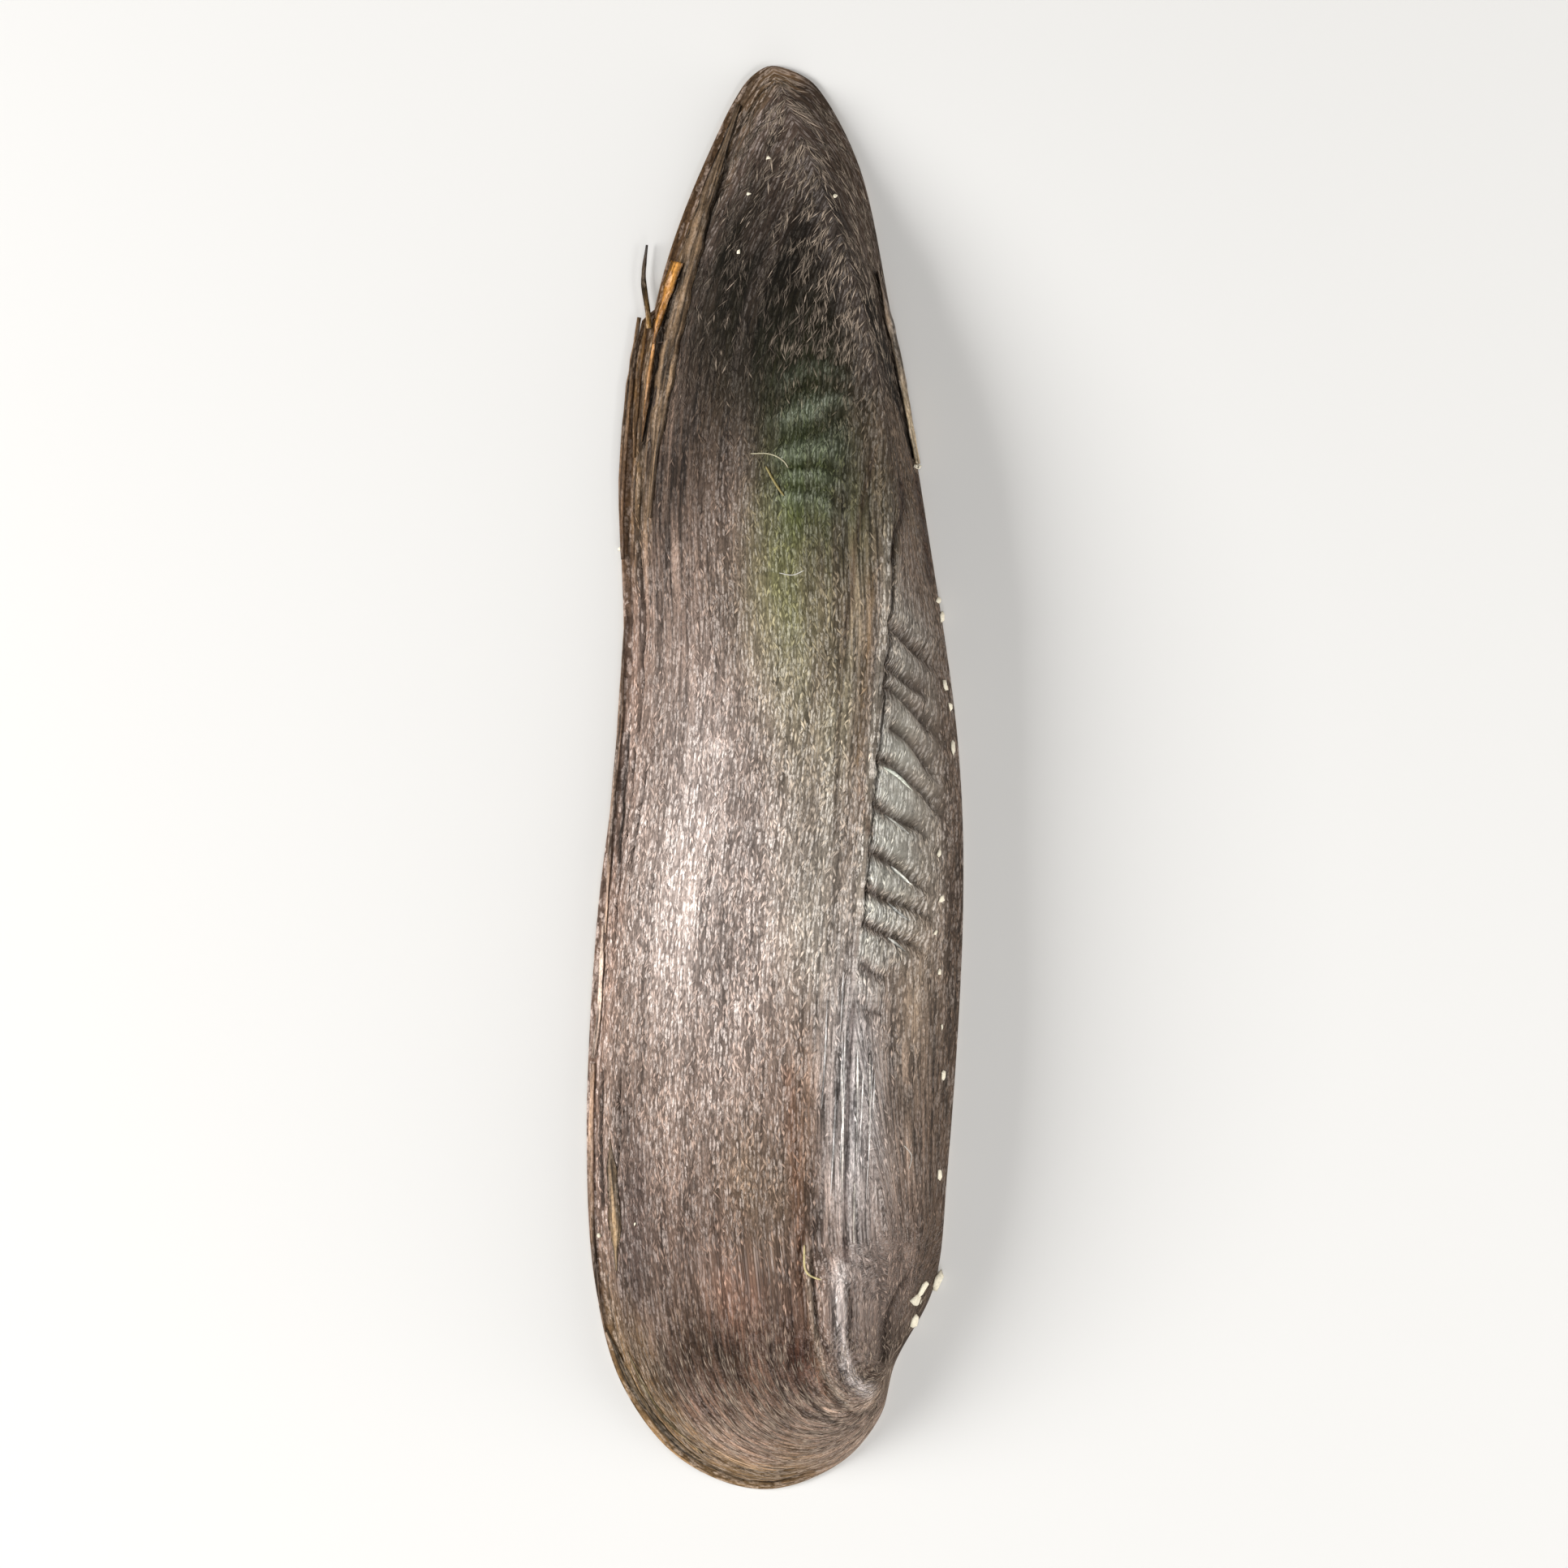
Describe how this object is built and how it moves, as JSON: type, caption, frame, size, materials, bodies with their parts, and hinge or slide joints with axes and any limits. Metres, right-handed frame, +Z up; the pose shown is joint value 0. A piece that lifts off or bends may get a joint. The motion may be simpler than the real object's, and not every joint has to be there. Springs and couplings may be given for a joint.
{
  "type": "freshwater mussel shell",
  "caption": "Single dry valve of a long lance-shaped river mussel, lying hollow side down: pointed rear tip, blunt front, pleated slope by the hinge, torn skin along the belly.",
  "frame": {"origin": "in the rest plane, under the middle of the valve's bounding box", "axes": "+Y towards the pointed rear tip, +X towards the hinge margin, +Z up out of the rounded back; the flat margin lies in Z = 0"},
  "size_m": [0.0344, 0.13, 0.0125],
  "materials": {
    "shell": "satin"
  },
  "bodies": {
    "root": {"valve": "shell"}
  },
  "joints": []
}
